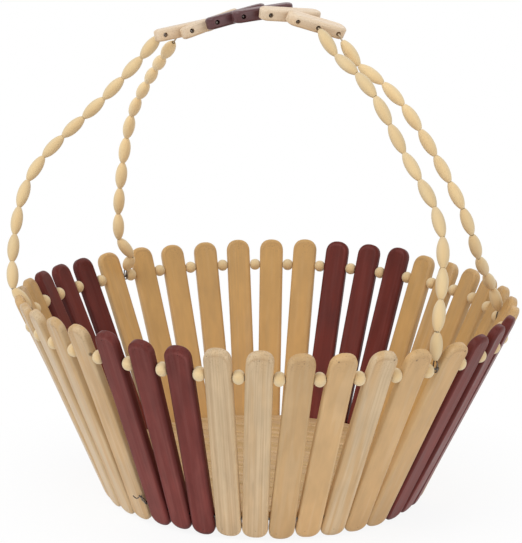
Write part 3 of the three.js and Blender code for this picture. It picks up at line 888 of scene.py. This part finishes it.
# The sticks' middles follow each other by a pitch, at the mean of two neighbours' angles.
slope = (stick_tips[1:] + stick_tips[:-1]) / 2
steps = stick_pitch * columns(np.cos(slope), 0, -np.sin(slope))
first_middle = [[first_stick_x, 0, rim_height + first_stick_rise]]
stick_middles = np.concatenate([first_middle, steps]).cumsum(0)


def grip_point(m, points):
    """Points of stick m, from the stick's own frame, in the basket's: turned in plan, rolled back,
    and tipped by the stick's own angle."""
    turn = Matrix.Rotation(stick_tips[m], 3, "Y") @ Matrix.Rotation(grip_roll, 3, "X")
    turn = np.array(turn @ Matrix.Rotation(stick_turn, 3, "Z"))
    return np.asarray(points, float) @ turn.T + stick_middles[m]


# The sticks' inner colour, on their undersides, is darker than the outer as painted shade.
light_stick = lacquered_wood(
    "light_stick_wood", outer=(226, 204, 174), pale=(232, 214, 190), inner=(214, 184, 146),
    line=(186, 150, 116), border=(226, 202, 172), crease=(196, 158, 122), dull=0.4, gloss=0.35)
brown_stick = lacquered_wood(
    "brown_stick_wood", outer=(92, 54, 56), pale=(104, 66, 68), inner=(84, 44, 44),
    line=(60, 32, 34), border=(94, 60, 62), crease=(60, 34, 36), dull=0.34, gloss=0.4,
    mottle=0.14)

stick_outline = stick_length, stick_width, stick_width, stick_rounding, stick_end_share
shape, outline_faces = stick_surface(stick_thickness, *stick_outline)
shape = np.stack([shape[:, 1] - stick_length / 2, -shape[:, 0], shape[:, 2]], axis=-1)
rods = [tube_surface([[hole * hole_pitch, -stick_width, 0], [hole * hole_pitch, stick_width, 0]],
                     stick_hole_radius, (1, 0, 0), 12) for hole in (-1, 0, 1)]
shape, stick_faces = drilled(shape, without_repeats(outline_faces), rods)
stick_border = border_way(shape[:, 0] + stick_length / 2, shape[:, 1], *stick_outline)
stick_inner = np.clip(0.5 - shape[:, 2] / stick_thickness, 0, 1)
for m in range(stick_count):
    light = m not in brown_sticks
    name = ("light" if light else "brown") + f"_grip_stick_{m + 1}"
    wood = light_stick if light else brown_stick
    stick = new_piece(name, (grip_point(m, shape), stick_faces), wood, {
        "wood_place": shape[:, [1, 0, 2]] + [0.17 * m + 3, 0.6 * m, 0.02 * m],
        "stick_kind": columns(1 + stick_tones * rng.normal(), stick_streak, stick_inner),
        "stick_look": columns(stick_pale, stick_border, stick_dirt_and_shading),
        "top_nail": np.ones_like(shape),
        "foot_nail": np.ones_like(shape),
    })
    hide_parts(f"grip_stick_{m + 1}")
    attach(stick, "handle_grip")

# Grip pins
#
# Short steel wires thread the sticks together: each goes through the near hole of one stick, the
# middle hole of the next and the far hole of the one after.

pin_radius = 0.0006
pin_recess = 0.0016


def smooth_path(points, steps):
    """A smooth curve through points, a cubic from each point to the next. Its slopes weigh the
    neighbouring stretches by the square root of their lengths, so that it neither loops nor
    overshoots."""
    points = np.asarray(points, float)
    ends = 2 * points[0] - points[1], 2 * points[-1] - points[-2]
    all_points = np.concatenate([[ends[0]], points, [ends[1]]])
    gaps = np.sqrt(np.linalg.norm(np.diff(all_points, axis=0), axis=1))[:, None]
    before, here, there, after = (all_points[i:len(all_points) - 3 + i] for i in range(4))
    gap0, gap1, gap2 = (gaps[i:len(gaps) - 2 + i] for i in range(3))
    slope1 = (here - before) / gap0 - (there - before) / (gap0 + gap1) + (there - here) / gap1
    slope2 = (there - here) / gap1 - (after - here) / (gap1 + gap2) + (after - there) / gap2
    slope1, slope2 = slope1 * gap1, slope2 * gap1
    t = np.linspace(0, 1, steps, endpoint=False)[None, :, None]
    here, there, slope1, slope2 = (a[:, None] for a in (here, there, slope1, slope2))
    cubic = here + t * slope1 + t ** 2 * (3 * (there - here) - 2 * slope1 - slope2)
    cubic = cubic + t ** 3 * (2 * (here - there) + slope1 + slope2)
    return np.concatenate([cubic.reshape(-1, 3), points[-1:]])


pin_end = stick_width / 2 - pin_recess
for number in range(1, stick_count + 1):
    crossed = [(number, -1), (number - 1, 0), (number - 2, 1)]
    crossed = [(m, hole, 0) for m, hole in crossed if 0 <= m < stick_count]
    stops = [(*crossed[0][:2], -pin_end), *crossed, (*crossed[-1][:2], pin_end)]
    path = smooth_path([grip_point(m, [hole * hole_pitch, way, 0]) for m, hole, way in stops], 6)
    pin = new_piece(f"grip_wire_{number}", tube_surface(path, pin_radius, (0, 0, 1), sides=8),
                    wire_metal)
    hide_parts(f"grip_pin_{number}")
    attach(pin, "handle_grip")

# Strands
#
# Four wires rise from the rim to the grip, each with twelve oval turned beads end to end. At the
# foot the wire goes round the rim wire as a hook and back into the last bead.

strand_wire_radius = 0.00055
strand_bead_count = 12
strand_bead_radius = 0.00395
strand_bead_hole = 0.00105
strand_reference = np.array([0, 1, 0.2])
bead_parting = 0.004
oval_end = 0.35
hook_wire_radius = 0.0004
hook_clearance = 0.00045
hook_bead_height = 0.0054
hook_drift = {5: 0.002, 11: 0.0008, 25: -0.0005}
last_bead_rise = 0.0135
mouth_clearance = 0.0006
wire_hold = 0.0011
mouth = stick_width / 2 + mouth_clearance

# The hook's outline, by the way out from the rim wire and the height above it: a leg down from
# inside the last bead, half a turn round the rim wire and a leg up again.
hook_leg = np.array([[0.0004, 0.0075], [0.0006, 0.0056], [0.0013, 0.0042]])
hook_radius = rim_wire_radius + hook_clearance + strand_wire_radius
arc = np.linspace(0, math.pi, 9)
hook_bend = hook_radius * columns(np.cos(arc), -np.sin(arc))
hook_outline = np.concatenate([hook_leg, hook_bend, hook_leg[::-1] * [-1, 1]])


def hook_place(k):
    """The middle of the room for the hook, beside the bead in the gap after slat k: on from the
    bead's middle by half of a bead, a hook and the play."""
    side = hook_sides[k]
    return bead_place(k) + side * (rim_bead_length / 2 + (hook_width + rim_bead_play) / 2)


def wire_plane_point(place, out, height):
    """A point in the plane across the rim wire, by the way out from it and the height above it."""
    along = rim_direction(place)
    outward = unit(np.stack([along[..., 1], -along[..., 0], 0 * along[..., 0]], axis=-1))
    return rim_point(place) + out * outward + [0, 0, height]


# Name, gap, the hook's side, the hole in the grip as (stick, hole, end), bare wire next to the
# grip as a share of a bead, the curve's bends as shares of the way from grip to rim along X, Y and
# Z, how far out the last bead hangs as a share of its rise, and the beads' tone, which is painted
# light: the back strands' beads are painted lighter against their shade.
strands = [
    ("left_front", 31, 1, (0, -1, 1), 0.112,
     [(0.17, 0, 0.08), (0.53, 0.08, 0.24), (1.18, 0.4, 0.53), (1.225, 0.8, 0.76)], 0.66, 0.95),
    ("left_back", 25, -1, (0, 0, 1), 0.55,
     [(0.1, 0, 0.06), (0.42, 0.33, 0.18), (0.83, 0.71, 0.41), (0.97, 0.84, 0.91)], -0.7, 1.09),
    ("right_front", 5, -1, (5, 0, -1), 0.054,
     [(0.16, 0.08, 0.1), (0.35, 0.19, 0.16), (0.65, 0.34, 0.39), (0.93, 0.57, 0.6)], 0.24, 0.92),
    ("right_back", 11, 1, (5, 1, -1), 0.248,
     [(0.11, 0, 0.09), (0.38, 0.05, 0.2), (0.84, 0.14, 0.59), (0.92, 0.39, 0.77)], -0.13, 1.03),
]
# An oval bead's radius falls towards its ends, a little more squarely than a circle.
shares = even_shares(17)
oval = oval_end + (1 - oval_end) * (1 - np.abs(2 * shares - 1) ** 2.2) ** 0.89
shares = bead_parting + (1 - 2 * bead_parting) * shares
# The strand wire is painted paler than bare steel, as painted light that lifts the shade between
# the beads.
strand_metal = steel_wire("strand_wire_steel", (196, 180, 156), (150, 132, 108))

for label, gap, side, (stick, hole, end), bare_share, bends, last_out, tone in strands:
    body = "handle_" + label.split("_")[0]
    start = grip_point(stick, [hole * hole_pitch, end * mouth, 0])
    drift = hook_drift.get(gap, 0)
    place = float(hook_place(gap)[0]) + drift
    finish = wire_plane_point(place, 0, hook_bead_height)
    stops = start + np.array(bends) * (finish - start)
    last = float(gap_place(gap)[0]) + drift
    last = wire_plane_point(last, last_out * last_bead_rise, last_bead_rise)
    curve = smooth_path([start, *stops, last, finish], 60)
    run = np.concatenate([[0], np.cumsum(np.linalg.norm(np.diff(curve, axis=0), axis=1))])
    pitch = run[-1] / (strand_bead_count + bare_share)
    distance = bare_share * pitch + pitch * np.arange(strand_bead_count + 1)
    joints = np.stack([np.interp(distance, run, axis) for axis in curve.T], axis=-1)
    swell = rng.uniform(0.95, 1.0, strand_bead_count)
    spins = rng.uniform(0, 6, strand_bead_count)
    surfaces = bead_surfaces(joints[:-1], joints[1:], strand_reference, shares,
                             strand_bead_radius * oval, strand_bead_hole, spins, swell)
    # Each strand's tone, which is painted light, varied a little for each bead.
    tones = tone * rng.normal(1, 0.025, strand_bead_count)
    beads = new_beads(f"strand_beads_{label}", surfaces, tones)
    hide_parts(f"strand_{label}")
    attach(beads, body)

    held = grip_point(stick, [hole * hole_pitch, end * (mouth - wire_hold), 0])
    core = smooth_path([held, start, *joints], 4)
    wire = new_piece(f"strand_wire_{label}", tube_surface(
        core, strand_wire_radius, strand_reference), strand_metal)
    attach(wire, body)

    path = smooth_path([wire_plane_point(place, side * o, h) for o, h in hook_outline], 5)
    hook = new_piece(f"strand_hook_{label}", tube_surface(
        path, hook_wire_radius, rim_direction(place)), wire_metal)
    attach(hook, body)

# Table and backdrop
#
# A plain white paper table just under the feet, lit softly. It keeps the basket's shadow, which
# fades out into a white backdrop.

table_drop = 0.0002
table_half = 4.0
shadow_full, shadow_end, shadow_share = 0.12, 0.22, 0.1

corners = [[x * table_half, y * table_half, -table_drop]
           for x, y in ((-1, -1), (1, -1), (1, 1), (-1, 1))]
table = new_object("table", corners, [[0, 1, 2, 3]])


def seen_plainly(tree):
    """1 where the camera sees a surface straight, in a gloss or through glass, and otherwise 0."""
    rays = add_node(tree, "LightPath").outputs
    seen = maths(tree, "MAXIMUM", rays["Is Camera Ray"], rays["Is Glossy Ray"])
    return maths(tree, "MAXIMUM", seen, rays["Is Transmission Ray"])


paper, tree, shader = new_material("white_paper")
tree.nodes.remove(shader)
place = add_node(tree, "TexCoord").outputs["Object"]
distance = add_node(tree, "VectorMath", {0: place}, operation="LENGTH").outputs["Value"]
lit = add_node(tree, "BsdfDiffuse", {"Color": (0.9, 0.9, 0.9, 1)})
glow = add_node(tree, "Emission", {"Color": (1, 1, 1, 1), "Strength": 1.0})
fade = ramp(tree, distance, shadow_full, shadow_end, 1 - shadow_share, 1.0)
share = times(tree, seen_plainly(tree), fade)
both = add_node(tree, "MixShader", {0: share, 1: lit.outputs[0], 2: glow.outputs[0]})
set_inputs(tree, tree.nodes["Material Output"], {"Surface": both.outputs[0]})
# The glow is only seen, and lights nothing, so no light is looked for on the table.
paper.cycles.emission_sampling = "NONE"
table.data.materials.append(paper)

world = bpy.data.worlds.new("white_studio")
bpy.context.scene.world = world
world.use_nodes = True
tree = world.node_tree
tree.nodes.clear()
plain = add_node(tree, "Background", {"Color": (1, 1, 1, 1), "Strength": 0.55})
white = add_node(tree, "Background", {"Color": (1, 1, 1, 1), "Strength": 1.0})
inputs = {0: seen_plainly(tree), 1: plain.outputs[0], 2: white.outputs[0]}
both = add_node(tree, "MixShader", inputs)
add_node(tree, "OutputWorld", {"Surface": both.outputs[0]})

# Lamps
#
# A wide soft lamp above and to the left of the camera, a weaker one from the right, and one from
# behind that opens up the inside. They are square, and all point at the basket's middle.

lamp_aim = np.array([0, 0, 0.1])
lamp_size = 1.2
lamps = [("key_lamp", (-0.7, -1.1, 1.5), 16), ("fill_lamp", (1.2, -0.9, 0.7), 6),
         ("back_lamp", (0.2, 1.2, 1.3), 5)]


def facing(right, above, back, spot):
    """The place and turn of a lamp or a camera: its three axes and its spot, as a matrix."""
    return Matrix(np.vstack([np.stack([right, above, back, spot], axis=1), [0, 0, 0, 1]]).tolist())


for name, spot, power in lamps:
    data = bpy.data.lights.new(name, "AREA")
    data.size = lamp_size
    data.energy = power
    lamp = bpy.data.objects.new(name, data)
    bpy.context.scene.collection.objects.link(lamp)
    back = unit(spot - lamp_aim)
    right = unit(np.cross([0, 0, 1], back))
    lamp.matrix_world = facing(right, np.cross(back, right), back, spot)

# Camera
#
# It looks a little down on the basket from the front, turned a little to the right of square. Its
# place and lens were fitted to the photograph.

view_turn = math.radians(19.96)
view_drop = math.radians(12.83)
view_roll = math.radians(-0.61)
view_distance = 1.2494
view_lens = 132.5
sensor_width = 36
aim = np.array([-0.0013, -0.0051, 0.1418])

ahead = np.array([-math.sin(view_turn) * math.cos(view_drop),
                  math.cos(view_turn) * math.cos(view_drop), -math.sin(view_drop)])
right = np.array([math.cos(view_turn), math.sin(view_turn), 0])
above = np.cross(right, ahead)
rolled_right = math.cos(view_roll) * right - math.sin(view_roll) * above
rolled_above = math.sin(view_roll) * right + math.cos(view_roll) * above
eye = bpy.data.cameras.new("photo_view")
eye.sensor_width = sensor_width
eye.lens = view_lens
eye.clip_end = 20
camera = bpy.data.objects.new("photo_view", eye)
bpy.context.scene.collection.objects.link(camera)
camera.matrix_world = facing(rolled_right, rolled_above, -ahead, aim - view_distance * ahead)
bpy.context.scene.camera = camera
bpy.context.scene.view_settings.view_transform = "Standard"
